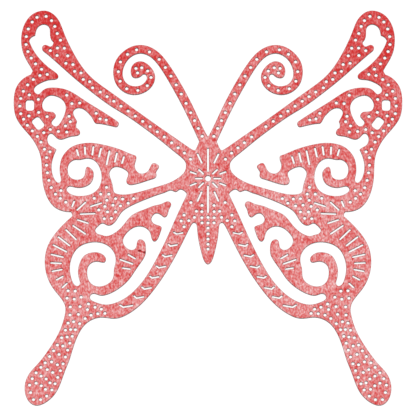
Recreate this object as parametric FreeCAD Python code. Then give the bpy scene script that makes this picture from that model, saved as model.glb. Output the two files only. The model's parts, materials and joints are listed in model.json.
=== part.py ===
"""Die-cut openwork butterfly in red card, for paper crafts and scrapbooks.

One flat sheet of card, cut right through in a single stroke of a shaped die: antennae, forewings and
swallow-tailed hindwings are all one piece, opened up by large scrolled windows, small windows, slots and
rows of pierced dots. The sheet bends only at four creases: one on each side of the thorax, where the wings
lift, and one at the root of each antenna.

Frame: millimetres, X to the butterfly's right as it is seen from above, Y towards the antennae, Z up. The
origin is on the axis of the centre hole, in the underside of the card. The outlines are given for the right
half and mirrored in X.

The sheet is cut along its creases, and along its narrow necks, into plates. Plates on one side of a crease
never move against each other.
"""

import FreeCAD
import Part

import os

# Driving dimensions
CARD_THICKNESS = 0.4
DOT_DIAMETER = 1.0
CENTRE_HOLE_DIAMETER = 1.8
SLOT_WIDTH = 0.6
CREASE_X = 4.25  # from the centre line to each wing crease, which joins the notches of the thorax
OVERSHOOT = 1.0  # how far cutting tools reach past the faces of the card
SIDES = {"right": 1, "left": -1}

# The outer edge of the right half, from the notch between the antennae down to the tip of the abdomen.
# Each inner tuple is a smooth run of points. Two runs meet at a corner: the first point of the later one.
OUTER_EDGE = (
    (  # the antenna: up its inner side, round the outside of the curl, and back along the other side
        (0.0, 12.9), (1.3, 15.2), (4.4, 21.75), (8.3, 29.15), (12.1, 35.25), (15.25, 38.95), (18.6, 40.9),
        (22.0, 41.2), (25.25, 39.95), (28.2, 37.0), (29.3, 33.5), (28.6, 29.6), (26.25, 26.95),
        (23.0, 25.9), (19.4, 26.8), (17.0, 29.1), (16.4, 31.8), (17.75, 34.45), (20.5, 36.2),
        (22.85, 35.55), (23.9, 33.5), (23.35, 31.45), (22.0, 31.1), (20.8, 31.6), (20.05, 32.2),
        (19.35, 32.15), (18.9, 31.0), (20.15, 29.2), (22.4, 28.5), (25.05, 29.35), (26.4, 32.0),
        (25.7, 35.3), (23.85, 37.6), (21.0, 38.7), (18.05, 37.8), (15.5, 35.3), (12.25, 30.25),
        (7.8, 22.2), (4.6, 15.6),
    ),
    ((2.7, 11.5), (3.25, 10.1)),  # the shoulder of the head
    (  # the notch beside the thorax, the leading edge of the forewing, and round the tip of the wing
        (3.75, 9.05), (CREASE_X, 8.7), (5.1, 9.05), (10.05, 12.45), (15.1, 15.95), (25.1, 23.1),
        (30.1, 26.7), (35.05, 30.35), (38.0, 33.3), (40.2, 36.4), (42.9, 41.3), (44.8, 45.7),
        (46.3, 49.1), (48.65, 51.35), (51.2, 51.9), (54.35, 50.75), (56.8, 47.65), (57.8, 43.2),
        (57.2, 38.9), (55.6, 35.7),
    ),
    ((54.2, 33.3),),
    (  # the outer lobe of the forewing, down to the waist between the wings
        (54.85, 32.1), (57.55, 30.55), (59.55, 27.55), (60.1, 23.0), (59.45, 19.15), (57.4, 15.9),
        (54.7, 12.75), (52.75, 9.55), (51.65, 6.0), (51.35, 1.0), (50.9, -2.4), (49.6, -6.1),
        (47.3, -8.95), (44.65, -10.1),
    ),
    ((42.55, -10.3), (42.1, -10.85)),
    (  # the outer lobe of the hindwing, the tail, and back along the inner edge to the abdomen
        (42.1, -11.8), (44.05, -13.55), (47.1, -16.85), (49.6, -20.95), (50.5, -25.6), (49.8, -30.2),
        (47.8, -34.1), (45.4, -37.1), (44.15, -39.75), (44.4, -42.7), (45.95, -47.3), (49.1, -52.7),
        (52.6, -57.3), (55.3, -60.4), (56.7, -64.2), (55.85, -68.35), (53.2, -70.2), (49.4, -68.7),
        (46.4, -65.1), (44.3, -59.7), (42.9, -56.2), (41.7, -52.3), (39.75, -47.55), (37.05, -44.35),
        (33.0, -42.95), (28.8, -43.3), (24.65, -41.85), (20.3, -38.5), (15.95, -33.35), (12.1, -27.55),
        (8.3, -20.6), (5.4, -14.8),
    ),
    (  # the notch beside the abdomen, and down to its tip
        (4.85, -13.95), (CREASE_X, -13.65), (3.7, -13.95), (3.45, -14.7), (3.05, -18.3), (2.2, -22.3),
        (1.1, -25.6), (0.0, -26.5),
    ),
)

# The windows of the right wing. A window of one run with no corner is a smooth ring.
WINDOWS = {
    "forewing_window": (
        (  # under the leading edge, out to the hook below the keyhole
            (6.8, 4.0), (7.3, 5.6), (10.0, 8.0), (15.1, 12.15), (20.1, 15.9), (25.05, 19.35),
            (30.1, 22.45), (35.05, 26.05), (40.05, 30.0), (45.05, 34.35), (50.1, 38.75), (51.2, 39.75),
            (51.25, 40.75), (50.5, 41.3), (49.6, 41.1), (48.7, 40.8), (48.0, 41.4),
        ),
        (  # the keyhole
            (47.9, 42.3), (48.8, 43.9), (48.9, 45.6), (49.15, 46.75), (50.0, 47.5), (51.3, 47.6),
            (52.7, 46.7), (53.3, 45.2),
        ),
        ((53.45, 44.25), (54.8, 43.5)),
        (  # down the inside of the wing tip to the point of the apical leaf
            (55.3, 42.6), (54.8, 41.2), (53.4, 38.7), (51.45, 36.35), (48.9, 34.05), (46.45, 32.05),
            (46.4, 31.2), (47.1, 30.7), (49.0, 30.5), (51.35, 29.75), (53.55, 28.25), (53.8, 27.1),
            (53.4, 26.45), (52.5, 26.05), (51.8, 26.5), (50.6, 27.6), (48.5, 28.1), (45.6, 27.9),
            (42.5, 26.9), (38.1, 24.1), (33.05, 20.95), (28.35, 17.9), (27.6, 17.0), (28.05, 16.05),
            (29.3, 16.1), (33.5, 16.95), (34.65, 17.05), (35.25, 17.65),
        ),
        (  # under the crest
            (36.1, 19.2), (37.25, 20.45), (38.65, 21.5), (40.3, 21.8), (41.4, 21.2), (41.7, 20.2),
            (41.1, 18.7),
        ),
        ((40.5, 17.6), (40.8, 16.6)),
        (
            (40.7, 15.6), (39.7, 14.7), (39.65, 13.85), (40.4, 13.3), (42.8, 12.9), (45.2, 12.1),
            (46.85, 12.6), (48.3, 13.9), (49.3, 13.5), (49.7, 12.0), (49.2, 10.5), (48.15, 9.75),
        ),
        (  # down the inside of the outer margin and over the scroll
            (46.9, 8.9), (47.8, 6.8), (48.4, 4.0), (48.1, 1.25), (47.2, -0.7), (46.2, -1.35),
            (45.5, -0.7), (45.8, 1.5), (45.8, 4.0), (45.05, 6.7), (42.55, 9.5), (40.0, 10.6),
            (36.5, 11.0), (32.0, 10.35), (27.05, 8.9), (23.3, 7.35), (22.25, 6.85), (22.3, 5.6),
            (22.7, 4.0), (22.1, 2.3), (20.8, 1.5), (19.4, 1.7), (18.35, 2.6), (17.6, 4.1), (16.9, 4.75),
            (15.85, 4.45), (15.15, 3.7), (15.8, 2.5),
        ),
        ((16.0, 1.4), (16.05, 0.55)),
        (  # under the hook of the scroll, and round the window beside its stem
            (16.95, -0.1), (20.45, -1.2), (24.0, -1.95), (25.0, -1.5), (25.25, -0.7), (24.85, 0.55),
        ),
        (
            (24.7, 1.7), (25.6, 2.7), (28.3, 3.65), (29.75, 3.05), (30.5, 1.7), (30.0, -0.45),
            (29.35, -2.95), (29.0, -4.3), (26.5, -5.0), (22.0, -4.35), (16.0, -2.65), (11.45, -1.1),
            (8.35, 0.85), (7.1, 2.4),
        ),
    ),
    "comma": (
        (
            (48.1, 25.7), (50.3, 24.9), (51.3, 22.8), (50.6, 21.0), (48.95, 20.65), (47.75, 20.4),
            (47.1, 19.3), (47.9, 18.2), (48.4, 17.2), (47.6, 16.2), (46.5, 16.3), (44.95, 18.5),
            (44.0, 21.6), (44.6, 23.85), (46.1, 25.1),
        ),
    ),
    "scroll_window": (
        (
            (32.9, 0.2), (33.3, 2.8), (34.55, 5.05), (36.5, 6.15), (38.5, 6.05), (39.7, 5.8),
            (41.15, 5.8), (42.7, 4.9), (43.4, 3.2), (43.1, 1.05), (41.95, -0.1), (40.3, -0.4),
            (38.8, 0.1), (38.1, 1.3), (37.85, 2.9), (37.3, 3.6), (36.4, 3.2), (35.5, 2.1), (35.4, 0.7),
            (36.15, -1.25), (37.85, -2.45), (40.0, -2.85), (42.0, -2.5), (43.1, -2.5), (43.75, -3.4),
            (43.0, -4.5), (41.2, -5.3), (38.6, -5.4), (36.1, -4.8), (34.0, -3.2), (33.2, -1.5),
        ),
    ),
    "hindwing_window": (
        (  # below the trailing bar of the forewing, into the slit
            (6.65, -4.5), (7.45, -3.75), (8.5, -3.35), (9.25, -3.7), (10.0, -4.1), (11.4, -3.65),
            (13.1, -4.2), (15.0, -4.85), (19.95, -6.7), (23.95, -8.5), (26.75, -10.45), (28.3, -12.85),
            (29.95, -14.35), (31.3, -14.4), (32.65, -13.85), (34.15, -14.85), (34.9, -16.0),
            (34.25, -17.1), (32.85, -17.5), (31.7, -17.85), (29.45, -17.2), (26.55, -14.85),
            (24.3, -12.1), (22.3, -10.65), (19.0, -9.3), (16.6, -8.4), (14.25, -7.8), (12.3, -7.1),
            (11.4, -8.0), (12.0, -9.4), (12.6, -11.35),
            (13.5, -11.95), (14.5, -11.3), (16.0, -10.75), (17.15, -11.55), (17.5, -12.8), (16.85, -13.9),
            (15.3, -14.55), (14.4, -15.1), (14.8, -16.85), (15.6, -18.75), (16.6, -19.45), (17.4, -18.6),
            (17.8, -17.05), (18.75, -15.65), (20.7, -14.8), (23.05, -15.2), (25.15, -16.85),
            (26.3, -19.0), (25.65, -21.05), (23.6, -22.15), (22.25, -21.35), (21.95, -19.8),
            (21.35, -18.95), (20.45, -18.95), (19.5, -19.9), (19.2, -22.2), (19.6, -24.1), (22.2, -28.0),
            (24.55, -31.35), (28.0, -34.3), (31.0, -35.8), (33.4, -36.15), (35.3, -35.6), (36.4, -36.2),
            (36.4, -37.3), (34.8, -38.3), (31.8, -39.05), (28.4, -38.4), (24.55, -36.25), (20.55, -32.25),
            (17.5, -27.7), (13.3, -19.65), (9.7, -11.7), (7.2, -6.4),
        ),
    ),
    "hindwing_eye": (
        (
            (28.55, -25.2), (29.15, -22.75), (31.0, -20.75), (34.0, -19.7), (37.45, -20.0), (40.3, -21.5),
            (42.1, -24.3), (42.75, -28.0), (42.1, -31.5), (41.3, -32.9), (40.3, -33.3), (39.6, -32.5),
            (39.9, -31.0), (40.2, -28.6), (39.55, -25.85), (37.95, -23.65), (35.2, -22.85),
            (32.95, -23.3), (31.6, -24.85), (32.05, -25.9), (33.4, -25.8), (35.2, -25.75),
            (36.85, -26.85), (37.4, -28.8), (37.0, -31.3), (35.75, -32.85), (33.5, -33.45),
            (30.95, -32.6), (29.35, -30.75), (29.1, -28.2), (28.8, -26.9),
        ),
    ),
}

# Small windows with rounded corners: centre, size along and across, turn in degrees, corner radius
ROUNDED_WINDOWS = (
    ((55.1, 22.6), (2.6, 3.3), 0.0, 0.8),
    ((52.55, 17.05), (2.8, 3.75), -37.0, 0.9),
)

# Rows of pierced dots on the right: guide points that are dots themselves, and the number of dots between
# each guide point and the next
DOT_ROWS = (
    (((1.8, 13.1), (5.35, 20.4), (9.85, 29.0), (15.1, 36.9), (18.1, 39.2), (22.1, 39.85), (24.9, 38.45),
      (27.1, 36.1), (27.75, 33.1), (27.2, 30.15), (25.15, 27.8), (21.7, 27.3), (18.8, 28.75),
      (17.65, 31.3), (18.65, 33.3), (20.5, 34.3), (22.3, 34.1), (21.8, 32.7)),
     (2, 2, 2) + (0,) * 14),  # antenna
    (((5.4, 6.0), (7.3, 7.9), (11.25, 11.1), (13.5, 12.9)), (0, 1, 0)),  # leading edge
    (((17.9, 16.1), (22.5, 19.35), (29.15, 23.95), (33.35, 26.8)), (1, 2, 1)),
    (((35.7, 28.1), (38.6, 30.7), (46.7, 38.1), (48.8, 39.6)), (0, 2, 0)),  # the blade behind the keyhole
    (((36.6, 30.0), (39.3, 32.7), (41.8, 35.3), (43.4, 38.0), (44.45, 40.35), (45.65, 42.85),
      (46.65, 44.9), (47.4, 47.1), (48.4, 48.9), (50.1, 50.2)),
     (0,) * 9),
    (((52.9, 49.9), (54.4, 48.45), (55.6, 46.3), (56.3, 41.5), (54.7, 37.3), (53.35, 35.5),
      (51.5, 33.85), (49.75, 32.25)),
     (0, 0, 1, 1, 0, 0, 0)),  # wing tip
    (((52.0, 31.9), (55.8, 29.0), (57.95, 24.8), (57.95, 20.1), (57.05, 18.4), (55.9, 16.5),
      (52.8, 13.05), (51.7, 11.3), (50.6, 9.1)),
     (1, 1, 1, 0, 0, 1, 0, 0)),  # outer margin
    (((49.95, 6.5), (49.7, 1.8), (48.5, -2.8), (47.2, -4.8), (44.0, -7.3)), (1, 1, 0, 1)),
    (((37.0, -38.8), (34.95, -39.8), (33.0, -40.4)), (0, 0)),  # the root of the tail
    (((31.9, -41.7), (34.1, -41.8), (36.2, -42.25), (38.0, -43.3)), (0, 0, 0)),
    (((39.7, -44.9), (42.0, -48.8), (44.1, -55.2), (46.5, -61.5), (48.3, -65.4), (49.9, -67.3),
      (51.8, -68.4), (54.0, -68.4), (54.9, -66.2), (55.2, -63.9), (53.2, -60.1), (51.7, -58.4),
      (50.4, -57.0), (49.0, -55.05), (46.6, -51.5), (44.1, -46.9), (43.3, -44.7)),
     (1, 2, 2, 1, 0, 0, 0, 0, 0, 1, 0, 0, 0, 1, 1, 0)),  # round the tail
    (((42.5, -46.7), (43.6, -49.0), (44.9, -51.8), (46.1, -54.4), (48.4, -56.7), (49.75, -59.1),
      (51.65, -61.1), (53.2, -63.3)),
     (0,) * 7),
    (((46.6, -57.6), (48.05, -60.0), (50.1, -62.0), (51.6, -64.1)), (0, 0, 0)),
)

# Single dots on the right
DOTS = (
    (1.85, -8.3), (1.9, -10.2), (3.6, -10.1), (1.9, -12.1), (4.2, -12.0), (1.85, -13.7),  # thorax
    (5.3, -7.4), (7.4, -11.3), (5.95, -13.0), (8.3, -13.1), (7.4, -14.9),  # root of the hindwing
    (46.6, 40.4), (48.9, 8.3), (45.5, -3.7),
    (55.3, 25.9), (52.5, 24.5), (52.4, 20.5), (55.4, 19.4), (49.8, 19.2), (50.8, 14.2),  # round windows
    (48.8, 15.2), (46.3, 14.6), (43.7, 14.4), (44.1, 16.3), (42.6, 17.6), (43.0, 19.3), (42.1, 23.2),
    (43.7, 25.8), (39.7, 23.4),
    (34.6, 20.2), (33.4, 18.5), (31.5, 18.15),  # the leaf of the crest
    (31.4, -2.7), (30.7, -4.8), (33.2, -4.8), (35.2, -6.1), (31.3, -6.7), (28.6, -6.2), (26.4, -6.3),  # fan
    (23.0, -6.2), (24.7, -7.6), (27.1, -8.45), (29.4, -8.2), (31.9, -8.6), (33.8, -9.7), (31.1, -10.3),
    (28.6, -10.3), (29.9, -12.3), (32.1, -12.4),
    (41.1, -34.8), (43.3, -34.7), (43.6, -37.0), (41.4, -37.3), (39.25, -36.7), (37.3, -40.5),  # tail root
    (39.6, -39.6), (42.6, -39.7), (40.1, -42.0), (42.7, -42.2), (41.6, -44.3),
    (48.9, -63.2), (50.3, -65.2),  # the paddle of the tail
)
LEFT_ONLY_DOTS = ((-15.7, 14.5),)  # the leading edge has one dot more on the left
AXIS_DOTS = (
    (0.0, -12.0), (0.0, -13.7), (0.0, -15.3), (0.0, -17.1), (0.0, -18.7), (0.0, -20.3), (0.0, -21.8),
)

# Slots on the right, each a chain of end centres
SLOTS = (
    ((1.95, 4.9), (3.2, 7.5)), ((1.5, 1.5), (2.8, 2.7)), ((3.75, 1.45), (5.4, 2.05)),  # star of the thorax
    ((1.9, 0.0), (3.8, 0.0)),
    ((1.5, -1.4), (2.8, -2.7)), ((3.75, -1.5), (5.4, -2.15)), ((2.0, -4.2), (3.2, -6.9)),
    ((26.0, 6.7), (26.6, 4.8)), ((28.2, 7.8), (28.8, 5.2)), ((30.5, 8.5), (31.35, 4.4)),  # scroll
    ((33.1, 9.3), (33.7, 6.8)), ((35.45, 9.8), (35.8, 7.4)), ((38.1, 9.7), (38.0, 7.6)),
    ((40.6, 8.9), (40.1, 7.2)),
    ((33.05, -7.6), (36.2, -8.6)), ((37.95, -7.4), (40.45, -9.7)), ((41.4, -7.1), (42.0, -8.6)),  # fan
    ((35.1, -10.85), (39.4, -11.0)), ((37.2, -13.8), (40.3, -12.8)), ((38.0, -17.1), (41.7, -14.6)),
    ((40.9, -18.8), (43.9, -15.9)), ((42.9, -20.7), (46.25, -18.1)), ((43.8, -22.65), (47.8, -20.6)),
    ((44.9, -24.3), (48.4, -23.5)), ((45.5, -26.25), (48.5, -26.1)), ((45.3, -28.15), (48.1, -28.7)),
    ((44.95, -30.3), (46.8, -31.3)), ((43.7, -32.5), (45.0, -33.7)),
    ((22.6, -24.75), (24.6, -23.6)), ((23.4, -26.4), (27.1, -25.1)), ((24.2, -28.0), (26.3, -27.7)),  # crest
    ((7.9, -16.8), (9.8, -17.1), (10.5, -16.7)), ((9.6, -20.5), (11.6, -20.9), (12.2, -20.4)),  # inner bar
    ((11.3, -23.8), (13.3, -24.2), (14.0, -23.7)), ((13.2, -27.2), (15.2, -27.6), (15.9, -27.1)),
    ((15.3, -30.4), (17.3, -30.75), (17.9, -30.3)), ((17.6, -33.8), (19.7, -34.2), (20.4, -33.6)),
    ((20.0, -36.6), (22.1, -37.0), (22.8, -36.4)), ((23.4, -39.3), (26.2, -39.8), (27.2, -39.2)),
)
AXIS_SLOTS = (((0.0, 9.1), (0.0, 2.3)), ((0.0, -2.4), (0.0, -10.4)))

# Where the sheet is divided. The creases are the lines it bends on; the other lines cross its necks.
V_NOTCH = OUTER_EDGE[0][0]
SHOULDER = OUTER_EDGE[1][0]
WING_CREASE = ((CREASE_X, 9.6), (CREASE_X, -14.6))
ANTENNA_CREASE = (V_NOTCH, SHOULDER)
NECK_LINES = (
    ((12.9, 37.3), (16.9, 34.5)),  # antenna stem and curl
    ((8.2, 4.9), (4.6, 9.25)),  # wing root and leading edge
    ((42.9, 45.1), (49.3, 42.5)),  # leading edge and wing tip
    ((54.8, 33.2), (50.9, 29.1)),  # wing tip and outer margin
    ((52.0, 26.9), (50.3, 24.2)),  # outer margin and crest, above and below the comma
    ((47.3, 16.9), (48.1, 13.2)),
    ((46.2, -0.5), (51.9, -2.6)),  # outer margin and fan
    ((29.0, -1.0), (34.0, -1.0)),  # scroll and fan, at the stem and at the outer side
    ((43.3, -3.0), (46.1, -0.7)),
    ((29.6, 2.9), (29.6, 10.5)),  # scroll and its arm
    ((9.0, 1.0), (9.0, -4.4)),  # wing root and trailing bar
    ((CREASE_X, -9.2), (9.0, -9.2)),  # wing root and inner bar
    ((21.5, -3.5), (21.5, -8.1)),  # trailing bar and fan
    ((44.0, -12.1), (34.2, -16.0)),  # fan and hindwing fan
    ((40.5, -32.6), (48.2, -35.4)),  # hindwing fan and tail root
    ((33.7, -16.7), (33.7, -20.3)),  # hindwing fan and scroll
    ((35.9, -31.9), (35.9, -36.6)),  # hindwing scroll and tail root
    ((36.4, -31.0), (40.3, -32.4)),  # tail root and curl
    ((25.6, -17.9), (28.2, -15.3)),  # hindwing scroll and crest
    ((29.8, -38.2), (29.8, -43.8)),  # inner bar and tail root
    ((37.6, -45.8), (46.0, -45.8)),  # tail root and tail
)
BODY_LINES = (((-3.9, 9.9), (3.9, 9.9)), ((-3.8, -14.5), (3.8, -14.5)))  # head, thorax and abdomen

# A point inside each plate
BODY_PLATES = {"head": (0.0, 11.0), "thorax": (0.0, 0.0), "abdomen": (0.0, -20.0)}
SIDE_PLATES = {
    "antenna_stem": (6.3, 23.0),
    "antenna_curl": (28.0, 33.0),
    "wing_root": (6.0, 0.5),
    "forewing_leading_edge": (20.0, 17.6),
    "forewing_tip": (51.0, 49.5),
    "forewing_outer_margin": (58.0, 23.6),
    "forewing_crest": (42.5, 21.0),
    "forewing_scroll": (44.5, 5.0),
    "forewing_scroll_arm": (24.0, 5.0),
    "forewing_trailing_bar": (15.0, -3.5),
    "forewing_fan": (33.0, -8.0),
    "hindwing_fan": (46.0, -25.0),
    "hindwing_crest": (20.0, -12.0),
    "hindwing_scroll": (27.0, -25.0),
    "hindwing_curl": (38.7, -27.0),
    "hindwing_inner_bar": (12.0, -22.0),
    "hindwing_tail_root": (41.0, -40.0),
    "hindwing_tail": (50.0, -62.0),
}


def at(point, z=0.0):
    """The vector of a point of the plan, at height z."""
    return FreeCAD.Vector(point[0], point[1], z)


def mirrored(points):
    """The same points on the other side of the centre line."""
    return tuple((-x, y) for x, y in points)


def centripetal(points, closed):
    """Spline parameters that grow with the square root of the chord, to keep tight turns free of loops."""
    ends = list(points[1:]) + ([points[0]] if closed else [])
    values = [0.0]
    for start, end in zip(points, ends):
        values.append(values[-1] + (at(end) - at(start)).Length ** 0.5)
    return values


def smooth_curve(points, closed=False):
    """A spline through the points, in the plane of the card's underside."""
    curve = Part.BSplineCurve()
    curve.interpolate(
        Points=[at(p) for p in points],
        PeriodicFlag=closed,
        Parameters=centripetal(points, closed),
    )
    return curve


def smooth_edge(points, closed=False):
    """One edge through the points: straight if there are only two."""
    if len(points) == 2:
        return Part.LineSegment(at(points[0]), at(points[1])).toShape()
    return smooth_curve(points, closed).toShape()


def loop(runs):
    """A closed wire of smooth runs, each ending where the next one starts. A single run makes a ring."""
    if len(runs) == 1:
        return Part.Wire([smooth_edge(runs[0], closed=True)])
    following = runs[1:] + runs[:1]
    return Part.Wire([smooth_edge(run + after[:1]) for run, after in zip(runs, following)])


def outer_loop():
    """The outer edge of the whole sheet. The run at the abdomen goes on over its tip to the other side."""
    right = OUTER_EDGE
    starts = [run[0] for run in right]
    left = []
    for run, after in zip(right[:-1], starts[1:]):
        left.insert(0, (mirrored((after,)) + mirrored(reversed(run[1:]))))
    abdomen = right[-1] + mirrored(reversed(right[-1][1:-1]))
    return loop(right[:-1] + (abdomen,) + tuple(left))


def upright(wire):
    """A solid of the card's thickness over a closed wire."""
    return Part.Face(wire).extrude(FreeCAD.Vector(0, 0, CARD_THICKNESS))


def tool(wire):
    """A cutting tool over a closed wire, which passes through both faces of the card."""
    height = FreeCAD.Vector(0, 0, CARD_THICKNESS + 2 * OVERSHOOT)
    cutter = Part.Face(wire).extrude(height)
    cutter.translate(FreeCAD.Vector(0, 0, -OVERSHOOT))
    return cutter


def window_tools():
    """Tools for the windows of both wings."""
    tools = [tool(loop(runs)) for runs in WINDOWS.values()]
    tools += [rounded_window(*window) for window in ROUNDED_WINDOWS]
    return tools + [flip(cutter) for cutter in tools]


def flip(shape):
    """The shape on the other side of the centre line."""
    return shape.mirror(FreeCAD.Vector(0, 0, 0), FreeCAD.Vector(1, 0, 0))


def rounded_window(centre, size, turn, radius):
    """A tool for a window with four rounded corners, turned about its centre."""
    height = CARD_THICKNESS + 2 * OVERSHOOT
    box = Part.makeBox(size[0], size[1], height, FreeCAD.Vector(-size[0] / 2, -size[1] / 2, -OVERSHOOT))
    uprights = [e for e in box.Edges if abs(e.tangentAt(e.FirstParameter).z) > 0.5]
    box = box.makeFillet(radius, uprights)
    box.rotate(FreeCAD.Vector(0, 0, 0), FreeCAD.Vector(0, 0, 1), turn)
    box.translate(at(centre))
    return box


def round_tool(centre, diameter):
    """A tool for a round hole."""
    height = CARD_THICKNESS + 2 * OVERSHOOT
    return Part.makeCylinder(diameter / 2, height, at(centre, -OVERSHOOT))


def slot_tool(start, end):
    """A tool for a straight slot with round ends. Its end centres are start and end."""
    along = at(end) - at(start)
    across = FreeCAD.Vector(-along.y, along.x, 0).normalize() * (SLOT_WIDTH / 2)
    outward = FreeCAD.Vector(along).normalize() * (SLOT_WIDTH / 2)
    first, last = at(start), at(end)
    return tool(
        Part.Wire(
            [
                Part.LineSegment(first + across, last + across).toShape(),
                Part.Arc(last + across, last + outward, last - across).toShape(),
                Part.LineSegment(last - across, first - across).toShape(),
                Part.Arc(first - across, first - outward, first + across).toShape(),
            ]
        )
    )


def dots_of_row(guide, between):
    """The dots of a row: its guide points, with others evenly spaced between them along a smooth curve."""
    curve = smooth_curve(guide) if len(guide) > 2 else Part.LineSegment(at(guide[0]), at(guide[1]))
    steps = centripetal(guide, False) if len(guide) > 2 else [curve.FirstParameter, curve.LastParameter]
    dots = [guide[0]]
    for count, first, last, end in zip(between, steps, steps[1:], guide[1:]):
        span = Part.Edge(curve, first, last)
        dots += [(p.x, p.y) for p in span.discretize(Number=count + 2)[1:-1]]
        dots.append(end)
    return dots


def piercings():
    """Tools for every dot and slot of the sheet."""
    right = [dot for guide, between in DOT_ROWS for dot in dots_of_row(guide, between)]
    right += DOTS
    centres = right + list(mirrored(right)) + list(AXIS_DOTS) + list(LEFT_ONLY_DOTS)
    tools = [round_tool(centre, DOT_DIAMETER) for centre in centres]
    tools.append(round_tool((0.0, 0.0), CENTRE_HOLE_DIAMETER))
    chains = list(SLOTS) + [mirrored(chain) for chain in SLOTS] + list(AXIS_SLOTS)
    for chain in chains:
        tools += [slot_tool(start, end) for start, end in zip(chain, chain[1:])]
    return tools


def dividing_faces():
    """Upright faces on the creases and on the lines across the necks."""
    antennae = ((SHOULDER[0] + 0.6, SHOULDER[1] - 0.3),) + ANTENNA_CREASE[::-1]
    side_lines = NECK_LINES + (WING_CREASE, antennae)
    lines = side_lines + tuple(mirrored(line) for line in side_lines) + BODY_LINES
    faces = []
    for line in lines:
        wire = Part.makePolygon([at(p, -OVERSHOOT) for p in line])
        faces += wire.extrude(FreeCAD.Vector(0, 0, CARD_THICKNESS + 2 * OVERSHOOT)).Faces
    return faces


def named_points():
    """Each plate's name and a point inside it."""
    points = dict(BODY_PLATES)
    for side, sign in SIDES.items():
        points.update({f"{name}_{side}": (sign * x, y) for name, (x, y) in SIDE_PLATES.items()})
    return points


def plates():
    """The solids of all plates by name, with their piercings."""
    blank = upright(outer_loop()).cut(window_tools())
    divided, _ = blank.generalFuse(dividing_faces())
    pieces = divided.Solids
    tools = piercings()
    found = {}
    for name, point in named_points().items():
        inside = at(point, CARD_THICKNESS / 2)
        piece = next(p for p in pieces if p.isInside(inside, 1e-6, True))
        near = [t for t in tools if piece.BoundBox.intersect(t.BoundBox)]
        found[name] = piece.cut(near).Solids if near else [piece]
    if len(found) != len(pieces):
        raise ValueError(f"{len(pieces)} pieces for {len(found)} plates")
    return found


def main():
    """Writes one STEP file for each plate."""
    os.makedirs("parts", exist_ok=True)
    for name, solids in plates().items():
        if len(solids) != 1 or not solids[0].isValid():
            raise ValueError(f"{name} is {len(solids)} solids")
        solids[0].exportStep(f"parts/{name}.step")


if __name__ == "__main__":
    main()
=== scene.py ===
"""The looks of a die-cut butterfly in mottled red card.

The frame gives the sheet as plates, divided at its creases and necks. Each plate becomes one closed piece of
card with the rolled upper rim and ragged wall that a steel rule leaves, its underside, and the slight tooth
of the paper. Plates meet exactly, so the sheet looks whole, and plates beside a crease get a finer grid
beside it and are not joined to a body.

Lengths in this file are millimetres until a mesh is written, and the scene is in metres.
"""

from __future__ import annotations

import json
import logging
import math
from collections.abc import Iterable
from dataclasses import dataclass, field
from enum import Enum
from functools import reduce

import bmesh
import bpy
import numpy as np
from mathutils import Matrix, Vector, noise
from mathutils.bvhtree import BVHTree
from mathutils.geometry import delaunay_2d_cdt
from mathutils.kdtree import KDTree

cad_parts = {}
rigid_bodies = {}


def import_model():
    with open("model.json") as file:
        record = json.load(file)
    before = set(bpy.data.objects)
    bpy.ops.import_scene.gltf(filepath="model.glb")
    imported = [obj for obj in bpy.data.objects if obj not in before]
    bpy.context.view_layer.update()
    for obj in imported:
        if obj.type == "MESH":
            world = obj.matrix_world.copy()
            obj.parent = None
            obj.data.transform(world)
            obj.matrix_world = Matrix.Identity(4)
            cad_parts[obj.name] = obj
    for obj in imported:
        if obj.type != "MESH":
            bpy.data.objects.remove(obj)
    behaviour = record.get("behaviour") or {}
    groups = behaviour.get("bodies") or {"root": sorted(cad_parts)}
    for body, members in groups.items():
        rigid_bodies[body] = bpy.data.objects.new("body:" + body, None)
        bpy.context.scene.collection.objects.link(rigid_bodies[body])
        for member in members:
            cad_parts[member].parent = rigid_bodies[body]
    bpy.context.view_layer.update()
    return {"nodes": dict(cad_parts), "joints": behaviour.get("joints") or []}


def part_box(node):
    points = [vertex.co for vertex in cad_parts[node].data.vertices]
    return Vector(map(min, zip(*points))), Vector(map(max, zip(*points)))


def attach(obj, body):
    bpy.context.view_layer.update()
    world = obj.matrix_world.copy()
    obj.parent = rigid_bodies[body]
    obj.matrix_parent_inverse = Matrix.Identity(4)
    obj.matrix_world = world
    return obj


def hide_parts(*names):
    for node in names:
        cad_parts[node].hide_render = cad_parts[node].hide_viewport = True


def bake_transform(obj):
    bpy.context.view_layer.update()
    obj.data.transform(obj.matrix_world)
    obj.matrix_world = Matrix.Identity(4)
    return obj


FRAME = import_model()

MM = 0.001
PLACE = "card_place"
# Attribute holding each point's share of the painted shade along the cut edges.
RIM_SHADE = "card_rim"
FACING_UP = 0.9
LOG = logging.getLogger("butterfly")

Socket = bpy.types.NodeSocket
Triple = tuple[float, float, float]
Rgba = tuple[float, float, float, float]
Value = Socket | float | tuple[float, ...]


class Side(Enum):
    """The two sides of the butterfly, with the sign of X there."""

    RIGHT = 1
    LEFT = -1

    @property
    def word(self) -> str:
        """The side's name, as bodies and plates have it."""
        return self.name.lower()


class EdgeKind(Enum):
    """What a stretch of a plate's outline is."""

    CUT = "cut through by the die"
    SEAM = "shared with the next plate"


class Face(Enum):
    """The two broad faces of the card."""

    UPPER = 1
    UNDER = -1


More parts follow.
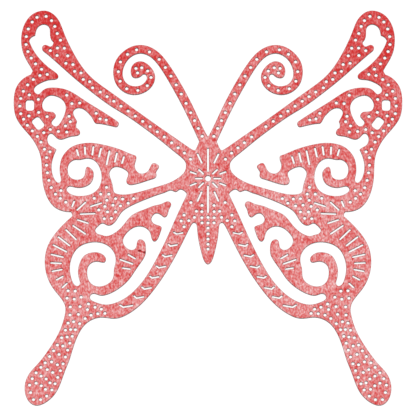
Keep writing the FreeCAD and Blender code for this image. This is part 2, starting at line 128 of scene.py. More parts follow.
@dataclass(frozen=True)
class CutEdge:
    """The section of a die-cut edge, from the flat of the upper face to the flat of the underside.

    Attributes:
        section: inset from the outline and depth below the upper face, both in mm, and share of the rim's
        colour, which is painted shade along the cut edge.
        drawn_for: the thickness that the depths are for, in mm.
        wall: the numbers of the first and last rings on the upright wall.
        ragged: how far the fibres of the wall are torn in, in mm.
        ragged_size: the length of a ragged patch along the wall, in mm.
        ragged_rise: how fast the raggedness changes up the wall, for each mm.
    """

    # The third number of each ring is its share of the painted edge shade.
    section: tuple[Triple, ...] = (
        (0.200, 0.0, 0.0),
        (0.140, 0.010, 0.0),
        (0.085, 0.035, 0.35),
        (0.038, 0.078, 0.85),
        (0.010, 0.130, 1.0),
        (0.0, 0.210, 1.0),
        (0.0, 0.330, 1.0),
        (0.025, 0.385, 0.6),
        (0.070, 0.400, 0.0),
    )
    drawn_for: float = 0.4
    wall: tuple[int, int] = (3, 6)
    ragged: float = 0.014
    ragged_size: float = 0.35
    ragged_rise: float = 9.0

    @property
    def widest(self) -> float:
        """The largest inset of the section, in mm."""
        return max(inset for inset, _, _ in self.section)

    def is_wall(self, ring: int) -> bool:
        """Whether a ring of the section lies on the upright wall."""
        return self.wall[0] <= ring <= self.wall[1]


@dataclass(frozen=True)
class Tooth:
    """The slight unevenness of the card's faces.

    Attributes:
        height: of the tooth, in mm.
        size: of one bump, in mm.
        apart: how far apart in the noise the two faces are.
    """

    height: float = 0.007
    size: float = 1.3
    apart: float = 7.0

    def at(self, x: float, y: float, face: Face) -> float:
        """How far a face stands proud at a place, in mm."""
        return self.height * noise.noise(Vector((x / self.size, y / self.size, self.apart * face.value)))


def tree_of(places: np.ndarray) -> KDTree:
    """A tree of places in the plane, for finding what lies near.

    Args:
        places: n by 2 places, in mm.

    Returns:
        The tree, whose indices are the places' numbers.
    """
    tree = KDTree(len(places))
    for number, (x, y) in enumerate(places):
        tree.insert(Vector((x, y, 0.0)), number)
    tree.balance()
    return tree


@dataclass
class Loop:
    """A closed line of an outline, with the card on its left.

    Attributes:
        points: n by 2 places, in mm.
        kinds: what the stretch from each point to the next is.
    """

    points: np.ndarray
    kinds: list[EdgeKind]

    def directions(self) -> tuple[np.ndarray, np.ndarray]:
        """The stretches' unit directions and lengths.

        Returns:
            n by 2 directions and n lengths, in mm.
        """
        along = np.roll(self.points, -1, axis=0) - self.points
        length = np.linalg.norm(along, axis=1)
        return along / length[:, None], length


@dataclass
class Resampler:
    """Turns the coarse outline of a plate into an even, smooth one.

    Attributes:
        step: longest stretch of a cut edge, in mm.
        bend: largest turn between stretches of a curve, in degrees.
        corner: turn above which a point is a real corner, in degrees.
        uneven: how many times longer than its neighbour a stretch is when it counts as straight.
    """

    step: float = 0.5
    bend: float = 13.0
    corner: float = 40.0
    uneven: float = 2.6

    def tangents(self, loop: Loop) -> tuple[np.ndarray, np.ndarray]:
        """The directions in which each stretch leaves its first point and reaches its last.

        Args:
            loop: the outline.

        Returns:
            Two n by 2 arrays of unit vectors.
        """
        along, length = loop.directions()
        before, before_length = np.roll(along, 1, axis=0), np.roll(length, 1)
        turn = np.degrees(np.arccos(np.clip((before * along).sum(axis=1), -1, 1)))
        through = before * length[:, None] + along * before_length[:, None]
        through = np.where((length > self.uneven * before_length)[:, None], along, through)
        through = np.where((before_length > self.uneven * length)[:, None], before, through)
        through /= np.linalg.norm(through, axis=1)[:, None]
        sharp = (turn > self.corner)[:, None]
        leaving = np.where(sharp, along, through)
        arriving = np.roll(np.where(sharp, before, through), -1, axis=0)
        return leaving, arriving

    def seam_places(self, start: np.ndarray, end: np.ndarray) -> list[np.ndarray]:
        """Places along a seam, the same ones from either side of it.

        Args:
            start: first end of the seam, in mm.
            end: last end of the seam, in mm.

        Returns:
            Places strictly between the ends, in order.
        """
        line = end - start
        length = float(np.linalg.norm(line))
        line = line / length
        axis = line if (line[0], line[1]) > (0.0, 0.0) else -line
        low, high = sorted((float(start @ axis), float(end @ axis)))
        margin = 0.5 * self.step
        first, last = math.ceil((low + margin) / self.step), math.floor((high - margin) / self.step)
        places = [start + line * abs(k * self.step - float(start @ axis)) for k in range(first, last + 1)]
        return sorted(places, key=lambda p: float((p - start) @ line))

    def refined(self, loop: Loop) -> Loop:
        """The same outline with curves rounded and long stretches divided.

        Args:
            loop: the coarse outline.

        Returns:
            The fine outline.
        """
        leaving, arriving = self.tangents(loop)
        _, lengths = loop.directions()
        points: list[np.ndarray] = []
        kinds: list[EdgeKind] = []
        for i, kind in enumerate(loop.kinds):
            start, end = loop.points[i], loop.points[(i + 1) % len(loop.points)]
            fresh = [start]
            if kind is EdgeKind.SEAM:
                fresh += self.seam_places(start, end)
            else:
                fresh += self.curve_places(start, end, leaving[i], arriving[i], float(lengths[i]))
            points += fresh
            kinds += [kind] * len(fresh)
        return Loop(np.array(points), kinds)

    def curve_places(
        self, start: np.ndarray, end: np.ndarray, leaving: np.ndarray, arriving: np.ndarray, length: float
    ) -> list[np.ndarray]:
        """Places between two points of a curve, on a cubic with the curve's own directions.

        Args:
            start: first point, in mm.
            end: last point, in mm.
            leaving: unit direction at the first point.
            arriving: unit direction at the last point.
            length: of the chord, in mm.

        Returns:
            Places strictly between the points, in order.
        """
        turn = math.degrees(math.acos(max(-1.0, min(1.0, float(leaving @ arriving)))))
        count = max(math.ceil(length / self.step), math.ceil(turn / self.bend))
        places = []
        for k in range(1, count):
            t = k / count
            a = 2 * t**3 - 3 * t**2 + 1
            b = t**3 - 2 * t**2 + t
            c = t**3 - t**2
            places.append(a * start + (1 - a) * end + length * (b * leaving + c * arriving))
        return places


@dataclass
class Sheet:
    """The whole sheet of card, as the frame gives it.

    Attributes:
        thickness: of the card, in mm.
        cover: the upper faces of every plate, for finding where the card goes on.
        probe: how far outside an edge the card is looked for, in mm.
        shortest: stretch of an outline that is kept, in mm.
    """

    thickness: float
    cover: BVHTree
    probe: float = 0.02
    shortest: float = 1e-4

    @classmethod
    def from_frame(cls, nodes: dict[str, bpy.types.Object]) -> Sheet:
        """Reads the sheet from its nodes.

        Args:
            nodes: the plates by name.

        Returns:
            The sheet.
        """
        thickness = (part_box("thorax")[1].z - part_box("thorax")[0].z) / MM
        corners: list[Vector] = []
        faces: list[list[int]] = []
        for node in nodes.values():
            mesh = node.data
            for polygon in mesh.polygons:
                if polygon.normal.z > FACING_UP:
                    base = len(corners)
                    corners += [mesh.vertices[v].co / MM for v in polygon.vertices]
                    faces.append(list(range(base, base + len(polygon.vertices))))
        return cls(thickness, BVHTree.FromPolygons(corners, faces))

    def goes_on(self, middle: np.ndarray, outward: np.ndarray) -> bool:
        """Whether there is more card just outside an edge.

        Args:
            middle: the middle of the edge, in mm.
            outward: unit direction out of the plate.

        Returns:
            True on a seam between plates.
        """
        place = middle + outward * self.probe
        above = Vector((float(place[0]), float(place[1]), 2 * self.thickness))
        return self.cover.ray_cast(above, Vector((0.0, 0.0, -1.0)))[0] is not None

    def outline(self, node: bpy.types.Object) -> list[Loop]:
        """The outline of a plate's upper face.

        Args:
            node: the plate.

        Returns:
            Its outer loop and the loops of its holes.
        """
        bm = bmesh.new()
        bm.from_mesh(node.data)
        bmesh.ops.remove_doubles(bm, verts=bm.verts, dist=self.shortest * MM)
        upper = {f for f in bm.faces if f.normal.z > FACING_UP}
        following: dict[bmesh.types.BMVert, bmesh.types.BMVert] = {}
        for face in upper:
            for corner in face.loops:
                if not any(f in upper for f in corner.edge.link_faces if f is not face):
                    following[corner.vert] = corner.link_loop_next.vert
        loops = []
        while following:
            first, vert = following.popitem()
            ring = [first]
            while vert is not first:
                ring.append(vert)
                vert = following.pop(vert)
            loops.append(self.kinds_of(np.array([v.co[:2] for v in ring]) / MM))
        bm.free()
        return loops

    def kinds_of(self, points: np.ndarray) -> Loop:
        """A loop with each of its stretches sorted into cut edge or seam.

        Args:
            points: n by 2 places, in mm.

        Returns:
            The loop.
        """
        following = np.roll(points, -1, axis=0)
        keep = np.linalg.norm(following - points, axis=1) > self.shortest
        points = points[keep]
        loop = Loop(points, [EdgeKind.CUT] * len(points))
        along, length = loop.directions()
        outward = np.stack([along[:, 1], -along[:, 0]], axis=1)
        middles = points + along * (length / 2)[:, None]
        loop.kinds = [
            EdgeKind.SEAM if self.goes_on(m, o) else EdgeKind.CUT for m, o in zip(middles, outward)
        ]
        return loop


@dataclass
class Plate:
    """One plate of the sheet as a closed piece of card.

    Attributes:
        name: the plate's node.
        loops: its fine outline.
        edge: the section of its cut edges.
        tooth: the unevenness of its faces.
        thickness: of the card, in mm.
        grid: distance between points inside the faces, in mm.
        fold: the crease beside it, as a point and the unit direction away, where it has one.
        fold_width: width of the strip beside the crease that gets a finer grid, in mm.
        fold_grid: that grid, in mm.
        straight: sine of a turn that counts as straight.
        mitre: how many times the inset a corner may move.
        near: how many times the widest inset another hole is looked for.
        gap_share: share of the gap to it that an inset may take.
        clear: share of the grid that inner points keep clear of the rims.
        sharp: angle from which an edge is left sharp, in degrees.
        merge: distance at which two points are one, in mm.
    """

    name: str
    loops: list[Loop]
    edge: CutEdge
    tooth: Tooth
    thickness: float
    grid: float = 0.7
    fold: tuple[tuple[float, float], tuple[float, float]] | None = None
    fold_width: float = 1.0
    fold_grid: float = 0.2
    straight: float = 0.05
    mitre: float = 2.0
    near: float = 3.0
    gap_share: float = 0.42
    clear: float = 0.5
    sharp: float = 62.0
    merge: float = 1e-7

    def inset_line(self, loop: Loop, scale: np.ndarray, inset: float) -> np.ndarray:
        """The loop moved into the card along its cut edges. Its seams stay on their lines.

        Args:
            loop: the outline.
            scale: share of the inset that there is room for at each point.
            inset: distance, in mm.

        Returns:
            n by 2 places, in mm.
        """
        along, _ = loop.directions()
        inward = np.stack([-along[:, 1], along[:, 0]], axis=1)
        before = np.roll(inward, 1, axis=0)
        cut = np.array([kind is EdgeKind.CUT for kind in loop.kinds])
        here, there = cut.astype(float), np.roll(cut, 1).astype(float)
        moved = loop.points.copy()
        for i in range(len(moved)):
            (before_x, before_y), (inward_x, inward_y) = before[i], inward[i]
            cross = before_x * inward_y - before_y * inward_x
            a, b = there[i] * inset * scale[i], here[i] * inset * scale[i]
            if abs(cross) < self.straight:
                moved[i] += (before[i] * a + inward[i] * b) / 2
                continue
            shift = np.array([a * inward_y - b * before_y, b * before_x - a * inward_x]) / cross
            reach = float(np.linalg.norm(shift))
            longest = self.mitre * max(a, b)
            moved[i] += shift * min(1.0, longest / reach) if reach > 0 else shift
        return moved

    def room(self) -> list[np.ndarray]:
        """How much of the widest inset there is room for beside each point, between one hole and the next.

        Returns:
            One array of shares for each loop.
        """
        tree = tree_of(np.concatenate([loop.points for loop in self.loops]))
        owners = [number for number, loop in enumerate(self.loops) for _ in loop.points]
        shares = []
        for number, loop in enumerate(self.loops):
            share = np.ones(len(loop.points))
            for i, (x, y) in enumerate(loop.points):
                near = tree.find_range(Vector((x, y, 0.0)), self.near * self.edge.widest)
                gaps = [distance for _, index, distance in near if owners[index] != number]
                if gaps:
                    share[i] = min(1.0, self.gap_share * min(gaps) / self.edge.widest)
            shares.append(share)
        return shares

    def inner_points(self, rims: list[np.ndarray]) -> list[tuple[float, float]]:
        """A staggered grid of points over the plate, clear of its rims, and finer beside a crease.

        Args:
            rims: the flat's own edges.

        Returns:
            Places in mm. Some may lie in holes.
        """
        rim = np.concatenate(rims)
        tree = tree_of(rim)
        low, high = rim.min(axis=0), rim.max(axis=0)
        places: list[tuple[float, float]] = []
        for pitch in (self.grid, self.fold_grid) if self.fold else (self.grid,):
            row_height = pitch * math.sqrt(3) / 2
            for row in range(math.ceil(low[1] / row_height), math.floor(high[1] / row_height) + 1):
                shift = 0.5 * (row % 2)
                first, last = math.ceil(low[0] / pitch - shift), math.floor(high[0] / pitch - shift)
                for column in range(first, last + 1):
                    place = ((column + shift) * pitch, row * row_height)
                    if self.beside_fold(place) != (pitch == self.fold_grid):
                        continue
                    if tree.find(Vector((*place, 0.0)))[2] > self.clear * pitch:
                        places.append(place)
        return places

    def beside_fold(self, place: tuple[float, float]) -> bool:
        """Whether a place lies in the strip beside the plate's crease.

        Args:
            place: in mm.

        Returns:
            True in the strip, and never on a plate with no crease.
        """
        if self.fold is None:
            return False
        (x, y), (across_x, across_y) = self.fold
        return (place[0] - x) * across_x + (place[1] - y) * across_y < self.fold_width

    def rings(self) -> list[list[np.ndarray]]:
        """The rings of every loop, from the flat of the upper face to the flat of the underside.

        Returns:
            For each loop, its rings as n by 3 arrays in mm.
        """
        all_rings = []
        for loop, share in zip(self.loops, self.room()):
            cut = np.array([kind is EdgeKind.CUT for kind in loop.kinds])
            free = (cut & np.roll(cut, 1)).astype(float)
            rings = []
            for number, (inset, depth, _) in enumerate(self.edge.section):
                line = self.inset_line(loop, share, inset)
                height = np.full(len(line), self.thickness - depth * self.thickness / self.edge.drawn_for)
                if self.edge.is_wall(number):
                    line = line + self.ragged_shift(loop, line, height) * free[:, None]
                rings.append(np.column_stack([line, height]))
            all_rings.append(rings)
        return all_rings

    def ragged_shift(self, loop: Loop, line: np.ndarray, height: np.ndarray) -> np.ndarray:
        """How far torn fibres move the points of a wall.

        Args:
            loop: the outline.
            line: the ring's places, in mm.
            height: the ring's heights, in mm.

        Returns:
            n by 2 shifts in mm, always into the card.
        """
        along, _ = loop.directions()
        inward = np.stack([-along[:, 1], along[:, 0]], axis=1)
        inward = inward + np.roll(inward, 1, axis=0)
        inward /= np.linalg.norm(inward, axis=1)[:, None]
        size = self.edge.ragged_size
        amount = [
            abs(noise.noise(Vector((x / size, y / size, self.edge.ragged_rise * z)))) * self.edge.ragged
            for (x, y), z in zip(line, height)
        ]
        return inward * np.array(amount)[:, None]

    def mesh(self) -> bpy.types.Mesh:
        """Makes the plate's closed mesh.

        Returns:
            The mesh, in metres, with the place of each point on the sheet as an attribute.
        """
        all_rings = self.rings()
        flats = [rings[0][:, :2] for rings in all_rings]
        flat_points = [(float(x), float(y)) for flat in flats for x, y in flat]
        edges: list[tuple[int, int]] = []
        for count in map(len, flats):
            base = len(edges)
            edges += [(base + i, base + (i + 1) % count) for i in range(count)]
        inner = self.inner_points(flats)
        triangles = self.triangulate(flat_points + inner, edges)
        used = sorted({v for triangle in triangles for v in triangle if v >= len(flat_points)})

        points: list[Triple] = []
        first_of_ring = []
        for number in range(len(self.edge.section)):
            first_of_ring.append(len(points))
            for rings in all_rings:
                points += [tuple(p) for p in rings[number].tolist()]
        # Each ring's share of the painted shade along the cut edges.
        rim = [share for _, _, share in self.edge.section for _ in flat_points]
        inner_index: dict[Face, dict[int, int]] = {}
        for face, height in ((Face.UPPER, self.thickness), (Face.UNDER, 0.0)):
            inner_index[face] = {v: len(points) + i for i, v in enumerate(used)}
            points += [(*inner[v - len(flat_points)], height) for v in used]
        rim += [0.0] * (len(points) - len(rim))

        faces: list[tuple[int, ...]] = []
        last = len(self.edge.section) - 1
        for a, b, c in triangles:
            upper = [inner_index[Face.UPPER].get(v, first_of_ring[0] + v) for v in (a, b, c)]
            under = [inner_index[Face.UNDER].get(v, first_of_ring[last] + v) for v in (c, b, a)]
            faces += [tuple(upper), tuple(under)]
        for number in range(last):
            high, low = first_of_ring[number], first_of_ring[number + 1]
            faces += [(high + b, high + a, low + a, low + b) for a, b in edges]
        return self.written(points, faces, rim, first_of_ring[1], first_of_ring[last])

    def triangulate(
        self, points: list[tuple[float, float]], edges: list[tuple[int, int]]
    ) -> list[tuple[int, int, int]]:
        """Fills the flat of the plate with triangles.

        Args:
            points: the rim's points and then the inner ones, in mm.
            edges: the rim's stretches, with the card on their left.

        Returns:
            Triangles of point numbers, facing up.
        """
        coords = [Vector(p) for p in points]
        _, _, faces, sources, _, _ = delaunay_2d_cdt(coords, edges, [], 1, self.merge)
        corners = np.array([[sources[v][0] for v in face] for face in faces])
        places = np.array(points)[corners]
        across, up = places[:, 1] - places[:, 0], places[:, 2] - places[:, 0]
        faces_down = across[:, 0] * up[:, 1] < across[:, 1] * up[:, 0]
        corners[faces_down] = corners[faces_down][:, ::-1]
        rim = np.array([[points[a], points[b]] for a, b in edges])
        on_card = self.enclosed(places.mean(axis=1), rim)
        return [tuple(triangle) for triangle in corners[on_card].tolist()]

    @staticmethod
    def enclosed(places: np.ndarray, rim: np.ndarray) -> np.ndarray:
        """Whether places lie on the card, and not in a hole of it.

        Args:
            places: n by 2 places, in mm.
            rim: the two ends of each stretch of the rim, in mm.

        Returns:
            n truth values.
        """
        (x, y), (start, end) = places.T[:, :, None], rim.transpose(1, 2, 0)
        spans = (start[1] <= y) != (end[1] <= y)
        rise = np.where(start[1] == end[1], 1.0, end[1] - start[1])
        crossing = start[0] + (y - start[1]) * (end[0] - start[0]) / rise
        return (spans & (crossing > x)).sum(axis=1) % 2 == 1

    def written(
        self,
        points: list[Triple],
        faces: list[tuple[int, ...]],
        rim: list[float],
        flat_end: int,
        under: int,
    ) -> bpy.types.Mesh:
        """Writes the mesh with the tooth on its flats, smooth shading and its attributes.

        Args:
            points: places in mm.
            faces: corners of each face.
            rim: share of the rim's colour at each point, which is painted shade along the cut edges.
            flat_end: number of the first point below the upper flat's rim.
            under: number of the first point on the underside's rim.

        Returns:
            The mesh, in metres.
        """
        mesh = bpy.data.meshes.new(f"{self.name}_card")
        raised = []
        for number, (x, y, z) in enumerate(points):
            if number < flat_end or (number >= under and z > self.thickness / 2):
                z += self.tooth.at(x, y, Face.UPPER) - self.tooth.height
            elif number >= under:
                z += self.tooth.at(x, y, Face.UNDER) + self.tooth.height
            raised.append((x * MM, y * MM, z * MM))
        mesh.from_pydata(raised, [], faces)
        mesh.update()
        place = mesh.attributes.new(PLACE, "FLOAT_VECTOR", "POINT")
        place.data.foreach_set("vector", np.array(points, np.float32).ravel())
        # Stores the share of painted edge shade on each point.
        shares = mesh.attributes.new(RIM_SHADE, "FLOAT", "POINT")
        shares.data.foreach_set("value", np.array(rim, np.float32))
        mesh.shade_smooth()
        mesh.set_sharp_from_angle(angle=math.radians(self.sharp))
        return mesh


@dataclass(frozen=True)
class Patch:
    """A round soft patch where the card is deeper or paler.

    Attributes:
        x: place of its middle, in mm.
        y: place of its middle, in mm.
        radius: where it has faded out, in mm.
        tone: how much paler its middle is.
    """

    x: float
    y: float
    radius: float
    tone: float


@dataclass(frozen=True)
class Fleck:
    """A clump of dyed fibre in the face of the card.

    Attributes:
        x: place of its middle, in mm.
        y: place of its middle, in mm.
        length: in mm.
        width: in mm.
        turn: of its length from the X axis, in degrees.
        colour: at its middle, as display values.
        deep: how deep it goes into the card, in mm.
        full: share of its size that has the whole colour.
        faded: share of its size at which the colour has gone.
    """

    x: float
    y: float
    length: float
    width: float
    turn: float
    colour: Triple
    deep: float = 0.2
    full: float = 0.65
    faded: float = 1.1


@dataclass(frozen=True)
class Mottle:
    """One size of the unevenness of dyed and pale fibre.

    Attributes:
        scale: features to the millimetre.
        strength: of the tone that it adds.
        drawn_out: whether it is longer along the sheet than across.
    """

    scale: float
    strength: float
    drawn_out: bool = False


@dataclass(frozen=True)
class PaleFibres:
    """Single pale fibres that lie one way.

    Attributes:
        turn: of the way they lie, in radians.
        start: where in the noise they begin, so that layers differ.
        stretch: how much closer features are across and along them.
        scale: features to the millimetre.
        thin: half their width, as a share of the noise.
        gap_scale: of the gaps in them, in features to the millimetre.
        gap: where a gap ends and where a fibre is whole.
        tone: how much paler a fibre is.
    """

    turn: float
    start: float
    stretch: Triple = (1.25, 0.42, 1.0)
    scale: float = 0.9
    thin: float = 0.030
    gap_scale: float = 0.75
    gap: tuple[float, float] = (0.48, 0.62)
    tone: float = 0.17

    def added(self, net: Net, place: Socket) -> Socket:
        """The tone that the fibres add.

        Args:
            net: the material's nodes.
            place: on the sheet, in mm.

        Returns:
            The tone.
        """
        lain = net.stretched(place, self.stretch, self.turn, self.start)
        ridge = net.math("ABSOLUTE", net.math("SUBTRACT", net.noise(lain, self.scale), 0.5))
        thin = net.spread(ridge, (0.0, self.thin), (1.0, 0.0))
        broken = net.spread(net.noise(lain, self.gap_scale, 0.0), self.gap, (0.0, self.tone))
        return net.math("MULTIPLY", thin, broken)


@dataclass(frozen=True)
class PaperRelief:
    """The tooth of the paper and the fibres in its face, too fine for the mesh.

    Attributes:
        tooth: scale to the millimetre, detail and roughness of the tooth.
        fibre: scale to the millimetre and detail of the fibres.
        fibre_stretch: how much closer features are across and along the fibres.
        fibre_turn: of the way they lie, in radians.
        fibre_share: their height, as a share of the tooth's.
        strength: of the bump.
        depth: of the bump, in metres.
    """

    tooth: Triple = (3.2, 4.0, 0.6)
    fibre: tuple[float, float] = (4.0, 2.0)
    fibre_stretch: Triple = (0.35, 1.6, 1.0)
    fibre_turn: float = 0.5
    fibre_share: float = 0.6
    strength: float = 0.35
    depth: float = 0.00003

    def normal(self, net: Net, place: Socket) -> Socket:
        """The normal that the relief gives.

        Args:
            net: the material's nodes.
            place: on the sheet, in mm.

        Returns:
            The normal.
        """
        tooth = net.noise(place, *self.tooth)
        fibre = net.noise(net.stretched(place, self.fibre_stretch, self.fibre_turn), *self.fibre)
        bump = net.add("ShaderNodeBump")
        bump.inputs["Strength"].default_value = self.strength
        bump.inputs["Distance"].default_value = self.depth
        height = net.math("ADD", tooth, net.math("MULTIPLY", fibre, self.fibre_share))
        net.put(bump.inputs["Height"], height)
        return bump.outputs["Normal"]


@dataclass(frozen=True)
class RedCard:
    """Uncoated card of dyed red and pale fibres, deeper in colour towards the tips of the forewings.

    Its colours lie on one line from deep red to pink. Where a colour lies on that line is its tone, which is
    how much green it shows, and blue shows as much.

    Attributes:
        red: red shown at no tone at all.
        red_rise: how much more red there is for each step of tone.
        light: how brightly the card is lit, for which the shown colours are divided.
        tones: the deepest tone and the palest.
        stops: how many colours stand for the line.
        tone: of the card at large.
        depth: how much deeper the tips of the forewings are.
        depth_reach: where the card starts to deepen and where it is deepest, in mm along Y at the middle.
        depth_lean: how much sooner it deepens away from the middle.
        mottles: its unevenness, size by size.
        drawn_out: how much closer features are across and along the sheet in a drawn-out mottle.
        fibres: its layers of pale fibres.
        spot_scale: of deeper spots, in features to the millimetre.
        spot_turn: of their noise, in radians, so that it differs from the others.
        spot: where in their noise a spot begins and is full.
        spot_tone: how much paler a spot is.
        level: of the upper face, where patches and flecks have their middles, in mm.
        patches: soft patches on top of that.
        flecks: clumps of dyed fibre that show.
        rim: colour of the pressed rim and the cut wall, as display values. It is painted shade along every
            cut
        edge, with some deeper colour of pressed fibre.
        roughness: of the faces.
        rough_change: how much rougher or smoother they are in places.
        rough_noise: scale to the millimetre and detail of those places.
        rough_range: where in the noise they are smoothest and roughest.
        specular: reflection of the faces.
        sheen: weight and roughness of the bloom of loose fibre.
        relief: the tooth of the faces.
    """

    red: float = 0.7895
    red_rise: float = 0.2134
    light: float = 1.31
    tones: tuple[float, float] = (0.15, 0.80)
    stops: int = 7
    tone: float = 0.507
    depth: float = 0.255
    depth_reach: tuple[float, float] = (9.0, 66.0)
    depth_lean: float = 0.35
    mottles: tuple[Mottle, ...] = (
        Mottle(2.0, 0.90, drawn_out=True),
        Mottle(0.8, 0.36, drawn_out=True),
        Mottle(0.30, 0.16),
        Mottle(0.07, 0.16),
    )
    drawn_out: Triple = (1.0, 0.62, 1.0)
    fibres: tuple[PaleFibres, ...] = (PaleFibres(0.35, 11.0), PaleFibres(-0.9, 37.0))
    spot_scale: float = 0.55
    spot_turn: float = 2.0
    spot: tuple[float, float] = (0.70, 0.76)
    spot_tone: float = -0.16
    level: float = 0.4
    patches: tuple[Patch, ...] = (
        Patch(-22.0, 36.0, 22.0, -0.075),
        Patch(22.0, 36.0, 13.0, 0.085),
        Patch(5.0, 21.0, 12.0, 0.075),
        Patch(-53.0, 50.0, 14.0, -0.045),
        Patch(-59.0, 37.0, 9.0, 0.060),
        Patch(58.0, 30.0, 9.0, 0.065),
        Patch(48.0, 34.0, 9.0, -0.035),
        Patch(-30.0, 11.0, 9.0, 0.060),
        Patch(30.0, -5.0, 14.0, 0.085),
        Patch(49.0, -53.0, 16.0, 0.060),
    )
    flecks: tuple[Fleck, ...] = (
        Fleck(-20.45, -22.65, 2.00, 0.50, -22.0, (0.80, 0.14, 0.15)),
        Fleck(-21.15, -22.35, 1.30, 0.90, 5.0, (0.58, 0.03, 0.04)),
        Fleck(-19.60, -22.90, 1.10, 0.85, -15.0, (0.56, 0.05, 0.06)),
        Fleck(38.60, -35.50, 0.80, 0.55, 40.0, (0.82, 0.26, 0.26)),
    )
    # Painted shade along every cut edge, with some deeper colour of pressed fibre.
    rim: Triple = (0.42, 0.17, 0.17)
    roughness: float = 0.86
    rough_change: float = 0.07
    rough_noise: tuple[float, float] = (2.2, 3.0)
    rough_range: tuple[float, float] = (0.35, 0.65)
    specular: float = 0.25
    sheen: tuple[float, float] = (0.05, 0.6)
    relief: PaperRelief = PaperRelief()

    def scene_colour(self, colour: Triple) -> Rgba:
        """A shown colour as the colour of the card itself, with full alpha."""
        values = [c / 12.92 if c <= 0.04045 else ((c + 0.055) / 1.055) ** 2.4 for c in colour]
        return (*(value / self.light for value in values), 1.0)

    def material(self) -> bpy.types.Material:
        """Makes the card's material.

        Returns:
            A node material that every plate shares.
        """
        material = bpy.data.materials.new("red_card")
        material.use_nodes = True
        material.node_tree.nodes.clear()
        net = Net(material.node_tree)
        output = net.add("ShaderNodeOutputMaterial")
        shader = net.add("ShaderNodeBsdfPrincipled")
        shader.inputs["Specular IOR Level"].default_value = self.specular
        shader.inputs["Sheen Weight"].default_value = self.sheen[0]
        shader.inputs["Sheen Roughness"].default_value = self.sheen[1]
        place = net.attribute(PLACE, "Vector")
        colour = self.colour(net, place)
        for fleck in self.flecks:
            colour = net.mix(self.share_of(net, place, fleck), colour, self.scene_colour(fleck.colour))
        # Painted shade: the rolled rim and the cut wall are mixed towards the dark rim colour.
        colour = net.mix(net.attribute(RIM_SHADE, "Fac"), colour, self.scene_colour(self.rim))
        net.put(shader.inputs["Base Color"], colour)
        ends = (self.roughness - self.rough_change, self.roughness + self.rough_change)
        rough = net.spread(net.noise(place, *self.rough_noise), self.rough_range, ends)
        net.put(shader.inputs["Roughness"], rough)
        net.put(shader.inputs["Normal"], self.relief.normal(net, place))
        net.put(output.inputs["Surface"], shader.outputs["BSDF"])
        return material

    def colour(self, net: Net, place: Socket) -> Socket:
        """The colour of the card's faces at each place.

        Args:
            net: the material's nodes.
            place: on the sheet, in mm.

        Returns:
            The colour.
        """
        tones = [self.depth_of(net, place), self.grain(net, place)]
        tones += [self.patch(net, place, patch) for patch in self.patches]
        lowest, highest = self.tones
        stops = []
        for k in range(self.stops):
            share = k / (self.stops - 1)
            green = lowest + (highest - lowest) * share
            stops.append((share, self.scene_colour((self.red + self.red_rise * green, green, green))))
        return net.ramp(net.spread(net.total(tones), self.tones, (0.0, 1.0)), stops)

    def depth_of(self, net: Net, place: Socket) -> Socket:
        """The tone of the card at large, deeper towards the tips of the forewings.

        Args:
            net: the material's nodes.
            place: on the sheet, in mm.

        Returns:
            The tone.
        """
        x, y = net.parts(place)
        reach = net.math("ADD", y, net.math("MULTIPLY", net.math("ABSOLUTE", x), self.depth_lean))
        return net.spread(reach, self.depth_reach, (self.tone, self.tone - self.depth))

    def patch(self, net: Net, place: Socket, patch: Patch) -> Socket:
        """The tone that a patch adds."""
        away = net.vector_math("DISTANCE", place, (patch.x, patch.y, self.level))
        return net.spread(away, (0.0, patch.radius), (patch.tone, 0.0), smooth=True)

    def share_of(self, net: Net, place: Socket, fleck: Fleck) -> Socket:
        """How much of a fleck's colour shows at each place.

        Args:
            net: the material's nodes.
            place: on the sheet, in mm.
            fleck: the fleck.

        Returns:
            The share, from 0 to 1.
        """
        size = (fleck.length / 2, fleck.width / 2, fleck.deep)
        within = net.placed(place, (fleck.x, fleck.y, self.level), math.radians(fleck.turn), size)
        away = net.vector_math("LENGTH", within)
        return net.spread(away, (fleck.full, fleck.faded), (1.0, 0.0), smooth=True)

    def grain(self, net: Net, place: Socket) -> Socket:
        """The tone that the fibres of the card add, dyed and pale.

        Args:
            net: the material's nodes.
            place: on the sheet, in mm.

        Returns:
            The tone.
        """
        lain = net.stretched(place, self.drawn_out, 0.0)
        tones = [
            net.around(net.noise(lain if mottle.drawn_out else place, mottle.scale), mottle.strength)
            for mottle in self.mottles
        ]
        tones += [layer.added(net, place) for layer in self.fibres]
        turned = net.stretched(place, (1.0, 1.0, 1.0), self.spot_turn)
        tones.append(net.spread(net.noise(turned, self.spot_scale, 0.0), self.spot, (0.0, self.spot_tone)))
        return net.total(tones)


